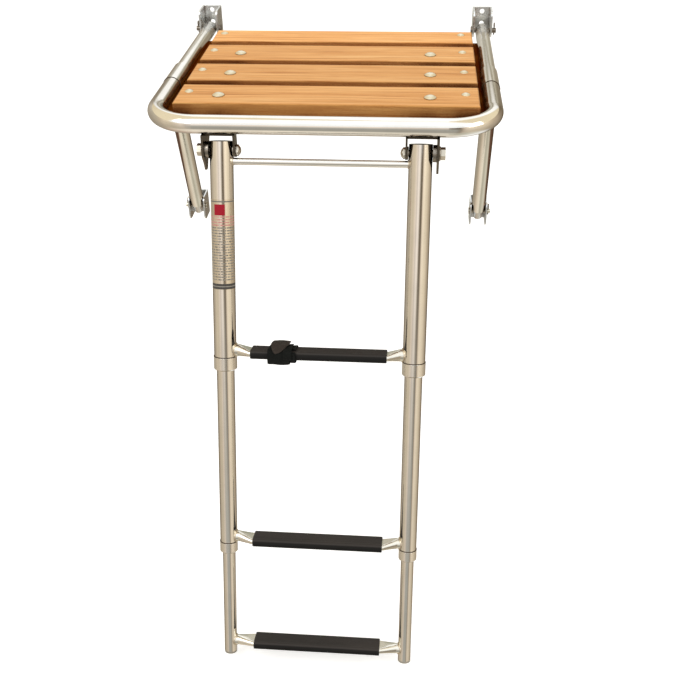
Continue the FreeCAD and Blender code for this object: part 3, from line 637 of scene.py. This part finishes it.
def ribbon(name, path, x_left, x_right, thickness, material, outline=None):
    """Flat webbing along a (y, z) path in ladder space, its width along x.

    outline(fraction, left, right) gives the two edges at a fraction of the path.
    """
    count = len(path)
    lengths = [0.0]
    for (y0, z0), (y1, z1) in zip(path, path[1:]):
        lengths.append(lengths[-1] + math.hypot(y1 - y0, z1 - z0))
    verts, uvs, faces = [], [], []
    for side in (0.5, -0.5):
        for i, (y, z) in enumerate(path):
            before, after = path[max(i - 1, 0)], path[min(i + 1, count - 1)]
            dy, dz = after[0] - before[0], after[1] - before[1]
            length = math.hypot(dy, dz) or 1
            normal_y, normal_z = -dz / length, dy / length
            left, right = x_left, x_right
            if outline:
                left, right = outline(i / (count - 1), x_left, x_right)
            for k in range(RIBBON_STEPS + 1):
                f = k / RIBBON_STEPS
                x = left + (right - left) * f
                body = min(1.0, min(f, 1 - f) * 12)
                share = EDGE_THICKNESS + (1 - EDGE_THICKNESS) * body
                ripple = 0.00035 * math.sin(x * 260 + lengths[i] * 90)
                lift = side * thickness * share + ripple
                verts.append(from_ladder(x, y + normal_y * lift, z + normal_z * lift))
                uvs.append((lengths[i] * 10, x * 10))

    def at(side, i, k):
        return (side * count + i) * (RIBBON_STEPS + 1) + k

    for i in range(count - 1):
        for k in range(RIBBON_STEPS):
            faces.append((at(0, i, k), at(0, i, k + 1), at(0, i + 1, k + 1), at(0, i + 1, k)))
            faces.append((at(1, i, k), at(1, i + 1, k), at(1, i + 1, k + 1), at(1, i, k + 1)))
    last = RIBBON_STEPS
    for i in range(count - 1):
        faces.append((at(0, i, 0), at(0, i + 1, 0), at(1, i + 1, 0), at(1, i, 0)))
        faces.append((at(0, i, last), at(1, i, last), at(1, i + 1, last), at(0, i + 1, last)))
    last = count - 1
    for k in range(RIBBON_STEPS):
        faces.append((at(0, 0, k), at(1, 0, k), at(1, 0, k + 1), at(0, 0, k + 1)))
        faces.append((at(0, last, k), at(0, last, k + 1), at(1, last, k + 1), at(1, last, k)))
    strap = mesh_object(name, verts, faces, uvs)
    sharpen(strap, 60)
    assign(strap, material)
    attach(strap, "ladder_outer")
    return strap


GRIP_LOW, GRIP_HIGH = ladder_box("step_1_grip")
STRAP_LOW, STRAP_HIGH = ladder_box("retaining_strap")
STRAP_LEFT, STRAP_RIGHT = STRAP_LOW.x, STRAP_HIGH.x


def wrap(front, back, below, above, squareness, start=0, end=360, sag=0.0):
    """Superellipse round the step 1 grip, standing off it by the given clearances.

    Angles are in degrees, from the boat side over the top; sag drops the underside.
    """
    centre_y, half_y = span(GRIP_LOW.y - front, GRIP_HIGH.y + back)
    centre_z, half_z = span(GRIP_LOW.z - below, GRIP_HIGH.z + above)
    start, end = math.radians(start), math.radians(end)
    path = []
    for i in range(WRAP_STEPS + 1):
        angle = start + (end - start) * i / WRAP_STEPS
        c, s = math.cos(angle), math.sin(angle)
        y = centre_y + half_y * math.copysign(abs(c) ** (2 / squareness), c)
        z = centre_z + half_z * math.copysign(abs(s) ** (2 / squareness), s)
        if s < 0:
            z -= sag * -s * (0.6 - 0.4 * c)
        path.append((y, z))
    return path


def tab_path():
    """Over the top of the grip from the boat side, then down over the front."""
    path = []
    for i in range(TAB_STEPS + 1):
        f = i / TAB_STEPS
        droop = 0.0085 * max(0, (f - 0.74) / 0.26) ** 1.6
        path.append((GRIP_HIGH.y + 0.001 - f * (GRIP_HIGH.y - GRIP_LOW.y + 0.0062),
                     GRIP_HIGH.z + 0.0064 + 0.0014 * math.sin(f * math.pi) - droop))
    return path


def tongue(fraction, left, right):
    """Full width over the first half, then rounded off and leaning to the left."""
    centre, half = span(left, right)
    taper = min(max((fraction - 0.50) / 0.50, 0), 0.999)
    narrowed = half * math.sqrt(1 - taper ** 2.2)
    centre -= (half - narrowed) * 0.42
    return centre - narrowed, centre + narrowed


# main band: snug over the top, sagging below the front
strap_band = ribbon(
    "strap_band",
    wrap(front=0.0026, back=0.0022, below=0.0028, above=0.0022, squareness=4.0, sag=0.0056),
    STRAP_LEFT, STRAP_LEFT + 0.031, thickness=0.0020, material=BLACK_WEBBING)
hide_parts("retaining_strap")
# second turn, to the right of the first and pulled tighter
ribbon(
    "strap_turn",
    wrap(front=0.0024, back=0.0020, below=0.0026, above=0.0020, squareness=3.6,
         start=150, end=475, sag=0.0012),
    STRAP_LEFT + 0.0325, STRAP_RIGHT - 0.0004, thickness=0.0018, material=BLACK_WEBBING)
# loose end lying between the two turns
ribbon(
    "strap_tail",
    wrap(front=0.0050, back=0.0012, below=0.0008, above=0.0048, squareness=3.4,
         start=70, end=228),
    STRAP_LEFT + 0.022, STRAP_LEFT + 0.0345, thickness=0.0016, material=BLACK_WEBBING)
# tab on top with a rounded tongue that hangs over the front
ribbon("strap_tab", tab_path(), STRAP_LEFT + 0.0035, STRAP_LEFT + 0.0295,
       thickness=0.0024, material=TAB_WEBBING, outline=tongue)


# ------------------------------------------------------------------ sticker on the left rail
STICKER_LIFT = 0.00012      # clearance from the tube
STICKER_TOP = 0.077         # below the top of the tube
STICKER_BOTTOM = 0.2015
STICKER_START = -200        # degrees round the tube
STICKER_SWEEP = 220
STICKER_STEPS_ROUND, STICKER_STEPS_DOWN = 64, 24


def build_sticker():
    centre_x, centre_y, radius = tube_section("outer_tube_left")
    radius += STICKER_LIFT
    tube_top = ladder_box("outer_tube_left")[1].z
    top, bottom = tube_top - STICKER_TOP, tube_top - STICKER_BOTTOM
    row = STICKER_STEPS_ROUND + 1
    verts, uvs, faces = [], [], []
    for j in range(STICKER_STEPS_DOWN + 1):
        v = j / STICKER_STEPS_DOWN
        for i in range(row):
            u = i / STICKER_STEPS_ROUND
            angle = math.radians(STICKER_START + STICKER_SWEEP * u)
            verts.append(from_ladder(centre_x + radius * math.cos(angle),
                                     centre_y + radius * math.sin(angle),
                                     top + (bottom - top) * v))
            uvs.append((u, v))
    for j in range(STICKER_STEPS_DOWN):
        for i in range(STICKER_STEPS_ROUND):
            a = j * row + i
            faces.append((a, a + row, a + row + 1, a + 1))
    sticker = mesh_object("sticker_film", verts, faces, uvs)
    assign(sticker, film())
    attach(sticker, "ladder_outer")


build_sticker()


# ------------------------------------------------------------------ weld beads
WELD_STEPS = 48
STEP_WELD = 0.0012          # bead radii
ROD_WELD = 0.0009
TREAD_END_REACH = 0.004     # tread points this near the rail's wall belong to its end


def weld(name, bar_z, bar_radius, tube, inward, body, radius):
    """Bead where a bar along x, at y = 0, meets a rail."""
    tube_x, _, tube_radius = tube_section(tube)
    path = []
    for angle in circle_angles(WELD_STEPS):
        y = (bar_radius + radius * 0.3) * math.cos(angle)
        z = (bar_radius + radius * 0.3) * math.sin(angle)
        x = math.sqrt(max((tube_radius + radius * 0.2) ** 2 - y * y, 0))
        path.append(from_ladder(tube_x + inward * x, y, bar_z + z))
    obj = bead(name, path, radius, uneven=0.12)
    assign(obj, WELD_STEEL)
    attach(obj, body)


def tread_end(tread, tube):
    """Height and radius of the tread's round end at a rail."""
    tube_x, _, tube_radius = tube_section(tube)
    points = [to_ladder(v.co) for v in NODES[tread].data.vertices]
    heights = [z for x, _, z in points if abs(x - tube_x) < tube_radius + TREAD_END_REACH]
    return span(min(heights), max(heights))


for section, number in SECTIONS:
    tread = "step_%d_tread" % number
    for side, inward in SIDES:
        tube = "%s_tube_%s" % (section, side)
        weld("weld_%s_%s" % (tread, side), *tread_end(tread, tube), tube, inward,
             "ladder_" + section, STEP_WELD)

ROD_LOW, ROD_HIGH = ladder_box("cross_rod")
for side, inward in SIDES:
    weld("weld_cross_rod_" + side, *span(ROD_LOW.z, ROD_HIGH.z), "outer_tube_" + side, inward,
         "ladder_outer", ROD_WELD)


# ------------------------------------------------------------------ dark seam rings
SEAM_STEPS = 64
SLEEVE_SEAM_RADIUS = 0.01285
SLEEVE_SEAM_INSET = 0.0001  # from the sleeve's outboard end
COLLAR_SEAM_GAP = 0.0002    # out from the tube wall
COLLAR_SEAM_RISE = 0.0006   # above the collar


def seam(name, path, radius, body):
    obj = bead(name, path, radius)
    assign(obj, SEAM_DARK)
    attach(obj, body)


# where the bent rail butts against each sleeve
for side, _ in SIDES:
    sleeve_low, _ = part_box("sleeve_" + side)
    tube_low, tube_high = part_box("side_tube_" + side)
    centre_x, _ = span(tube_low.x, tube_high.x)
    centre_z, _ = span(tube_low.z, tube_high.z)
    seam("seam_ring_" + side,
         [(centre_x + SLEEVE_SEAM_RADIUS * math.cos(angle),
           sleeve_low.y + SLEEVE_SEAM_INSET,
           centre_z + SLEEVE_SEAM_RADIUS * math.sin(angle))
          for angle in circle_angles(SEAM_STEPS)],
         0.00055, "platform")

# at the top of each telescoping collar
for section in ("outer", "mid"):
    collars = section + "_collars"
    collar_top = ladder_box(collars)[1].z
    for side, _ in SIDES:
        centre_x, centre_y, tube_radius = tube_section("%s_tube_%s" % (section, side))
        ring_radius = tube_radius + COLLAR_SEAM_GAP
        seam("seam_%s_%s" % (collars, side),
             [from_ladder(centre_x + ring_radius * math.cos(angle),
                          centre_y + ring_radius * math.sin(angle),
                          collar_top + COLLAR_SEAM_RISE)
              for angle in circle_angles(SEAM_STEPS)],
             0.0007, "ladder_" + section)


# ------------------------------------------------------------------ floor
FLOOR_HALF = 14
FLOOR_GAP = 0.012           # below the lowest point
LOWEST_AT_MOST = -0.76


def floor_material():
    """Pale floor that glossy rays pass through, so the steel reflects the studio instead."""
    m = Material("floor_pale")
    mottle = m.noise(scale=3.0, detail=3, rough=0.5)
    m.surface(Base_Color=m.mix(mottle, (0.90, 0.90, 0.89), (0.93, 0.93, 0.92)),
              Roughness=0.85, Specular_IOR_Level=0.1,
              Emission_Color=(1.0, 0.995, 0.985), Emission_Strength=0.42)
    mixed = m.node("ShaderNodeMixShader", {
        0: m.node("ShaderNodeLightPath").outputs["Is Glossy Ray"],
        1: m.shader.outputs[0],
        2: m.node("ShaderNodeBsdfTransparent").outputs[0]})
    m.feed(m.tree.nodes["Material Output"].inputs["Surface"], mixed.outputs[0])
    return m.material


floor_z = min(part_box("foot_caps")[0].z, LOWEST_AT_MOST) - FLOOR_GAP
floor = mesh_object(
    "floor",
    [(x * FLOOR_HALF, y * FLOOR_HALF, floor_z) for x, y in ((-1, -1), (1, -1), (1, 1), (-1, 1))],
    [(0, 1, 2, 3)], smooth=False)
assign(floor, floor_material())


# ------------------------------------------------------------------ studio world
# Azimuth is 0 towards the camera (-Y), positive to the right (+X); all angles in degrees.
# azimuth, colour the metal picks up from the walls
WALLS = (
    (-180, (.60, .56, .46)), (-163, (.60, .56, .46)), (-158, (.30, .25, .18)),
    (-143, (.58, .52, .42)), (-118, (.44, .38, .28)), (-100, (.46, .39, .28)),
    (-88, (.52, .42, .29)), (-76, (.64, .53, .37)), (-56, (.60, .50, .35)),
    (-44, (.66, .55, .41)), (-34, (.72, .61, .48)), (-25, (.58, .49, .40)),
    (-14, (.78, .68, .57)), (-3, (.80, .70, .58)), (4, (.50, .42, .33)),
    (10, (.20, .16, .11)), (18, (.12, .09, .06)), (26, (.18, .14, .09)),
    (32, (.55, .44, .32)), (38, (.78, .65, .48)), (48, (.88, .74, .54)),
    (66, (.84, .70, .49)), (80, (.76, .63, .44)), (90, (.68, .54, .36)),
    (103, (.50, .39, .26)), (120, (.40, .31, .21)), (136, (.26, .20, .13)),
    (152, (.16, .12, .07)), (161, (.30, .25, .17)), (166, (.58, .54, .42)),
    (180, (.60, .56, .46)))
# the same for the floor
FLOOR_RING = (
    (-180, (.50, .44, .34)), (-130, (.44, .34, .26)), (-100, (.50, .38, .28)),
    (-58, (.66, .56, .43)), (-15, (.76, .68, .54)), (8, (.56, .51, .40)),
    (29, (.42, .38, .29)), (50, (.48, .45, .35)), (67, (.58, .54, .43)),
    (101, (.68, .65, .56)), (140, (.98, .98, .94)), (180, (.50, .44, .34)))
FLOOR_BELOW = (.66, .58, .46)
DARK_BEHIND = (.14, .09, .05)
# elevation blend, colour of the sky from low to high
SKY = ((0.0, (0.86, 0.87, 0.87)), (0.5, (0.88, 0.90, 0.89)), (1.0, (1.0, 1.0, 0.99)))
WHITE_POINT = (1.02, 1.0, 0.95)     # wall and floor colours are divided by this
PLAIN_LIGHT = (0.68, 0.67, 0.653)   # what the camera and diffuse surfaces see
WORLD_STRENGTH = 1.25


def turn(degrees):
    """Azimuth as a place on a 0..1 ramp."""
    return degrees / 360.0 + 0.5


def balanced(colour):
    return tuple(min(c / white, 1) for c, white in zip(colour, WHITE_POINT))


def reflected_studio(g):
    """Colour of the studio in each direction, as seen in the polished metal."""
    direction = g.split(g.coords["Generated"])
    azimuth = g.calc("ARCTAN2", direction["X"], g.times(direction["Y"], -1.0))
    around = g.calc("ADD", g.calc("DIVIDE", azimuth, 2 * math.pi), 0.5)
    elevation = g.times(g.calc("ARCSINE", direction["Z"]), 180 / math.pi)

    def rises(start, end):
        return g.step(elevation, start, end)

    def round_ramp(table):
        return g.ramp(around, [(turn(at), balanced(colour)) for at, colour in table])

    colour = round_ramp(WALLS)
    # straight towards the camera the wall falls to grey below eye level
    to_camera = g.step(g.calc("ABSOLUTE", azimuth), math.radians(30), math.radians(14))
    colour = g.mix(g.times(to_camera, rises(11.0, -12.0)), colour, (0.33, 0.34, 0.32))
    # walls dim in two stages lower down
    dim = g.calc("ADD", g.times(rises(12.0, -2.0), 0.30), g.times(rises(-2.0, -30.0), 0.28))
    colour = g.mix(dim, colour, (0.30, 0.26, 0.205))
    # floor, by direction, then straight down
    ground = g.mix(rises(-66.0, -84.0), round_ramp(FLOOR_RING), balanced(FLOOR_BELOW))
    colour = g.mix(rises(-38.0, -54.0), colour, ground)
    # dark patch low down, behind and to the right
    patch = g.times(g.step(around, turn(140), turn(158)), rises(-8.0, -16.0))
    patch = g.times(patch, rises(-40.0, -30.0))
    colour = g.mix(patch, colour, balanced(DARK_BEHIND))
    # grey patch straight behind
    straight_back = g.step(g.calc("COSINE", azimuth), -0.974, -0.990)
    patch = g.times(straight_back, g.times(rises(11.0, 5.0), rises(-34.0, -26.0)))
    colour = g.mix(patch, colour, (0.30, 0.30, 0.24))
    # soft sky overhead: warm at the sides, brighter and starting higher at the back
    back = g.step(g.calc("COSINE", azimuth), -0.90, -0.975)
    edge = g.times(back, g.times(rises(14.2, 15.8), rises(19.0, 17.6)))
    sky_start = g.calc("ADD", 15.0, g.times(back, 2.6))
    sky_amount = g.step(elevation, sky_start, g.calc("ADD", sky_start, 4.0))
    sky = g.ramp(rises(20.0, 48.0), SKY)
    off_centre = g.calc("ABSOLUTE", azimuth)
    sides = g.times(g.step(off_centre, math.radians(52), math.radians(72)),
                    g.step(off_centre, math.radians(157), math.radians(150)))
    sky = g.mix(sides, sky, (0.72, 0.62, 0.43))
    sky = g.mix(back, sky, (1.0, 1.0, 0.98))
    colour = g.mix(sky_amount, colour, sky)
    # thin dark edge under the sky at the back
    return g.mix(edge, colour, (0.30, 0.27, 0.20))


def build_world():
    world = bpy.data.worlds.new("studio")
    bpy.context.scene.world = world
    world.use_nodes = True
    world.node_tree.nodes.clear()
    g = Graph(world.node_tree)
    glossy = g.node("ShaderNodeLightPath").outputs["Is Glossy Ray"]
    colour = g.mix(glossy, PLAIN_LIGHT, reflected_studio(g))
    background = g.node("ShaderNodeBackground", {"Color": colour, "Strength": WORLD_STRENGTH})
    g.node("ShaderNodeOutputWorld", {"Surface": background.outputs[0]})


build_world()


# ------------------------------------------------------------------ lights
def area_light(name, place, target, size, power, colour):
    """Square area light facing the target."""
    light = bpy.data.lights.new(name, "AREA")
    light.shape = "RECTANGLE"
    light.size = light.size_y = size
    light.energy = power
    light.color = colour
    obj = bpy.data.objects.new(name, light)
    obj.location = place
    aim = Vector(target) - Vector(place)
    obj.rotation_euler = aim.to_track_quat("-Z", "Y").to_euler()
    bpy.context.scene.collection.objects.link(obj)


area_light("key", place=(-1.6, -2.2, 2.2), target=(0, -0.4, -0.2), size=1.8, power=30,
           colour=(1.0, 0.97, 0.92))
area_light("fill", place=(2.2, -1.6, 1.2), target=(0, -0.4, -0.3), size=1.6, power=14,
           colour=(1.0, 0.98, 0.95))


# ------------------------------------------------------------------ camera
SENSOR_WIDTH = 36           # millimetres, as is the focal length
FOCAL_LENGTH = 50.3681885
CAMERA_PLACE = (0.12857, -1.65621, 0.45067)
CAMERA_YAW = math.radians(5.17)         # to the left of +Y
CAMERA_PITCH = math.radians(33.98)      # downwards
CAMERA_ROLL = math.radians(-1.06)


def build_camera():
    data = bpy.data.cameras.new("camera")
    data.sensor_width = SENSOR_WIDTH
    data.lens = FOCAL_LENGTH
    data.clip_end = 60
    camera = bpy.data.objects.new("camera", data)
    forward = Vector((-math.sin(CAMERA_YAW) * math.cos(CAMERA_PITCH),
                      math.cos(CAMERA_YAW) * math.cos(CAMERA_PITCH),
                      -math.sin(CAMERA_PITCH)))
    level_right = Vector((math.cos(CAMERA_YAW), math.sin(CAMERA_YAW), 0))
    level_up = level_right.cross(forward)
    right = level_right * math.cos(CAMERA_ROLL) + level_up * math.sin(CAMERA_ROLL)
    up = -level_right * math.sin(CAMERA_ROLL) + level_up * math.cos(CAMERA_ROLL)
    rotation = Matrix((right, up, -forward)).transposed().to_4x4()
    camera.matrix_world = Matrix.Translation(Vector(CAMERA_PLACE)) @ rotation
    bpy.context.scene.collection.objects.link(camera)
    bpy.context.scene.camera = camera


build_camera()
bpy.context.scene.view_settings.view_transform = "Standard"
bpy.context.scene.view_settings.look = "None"
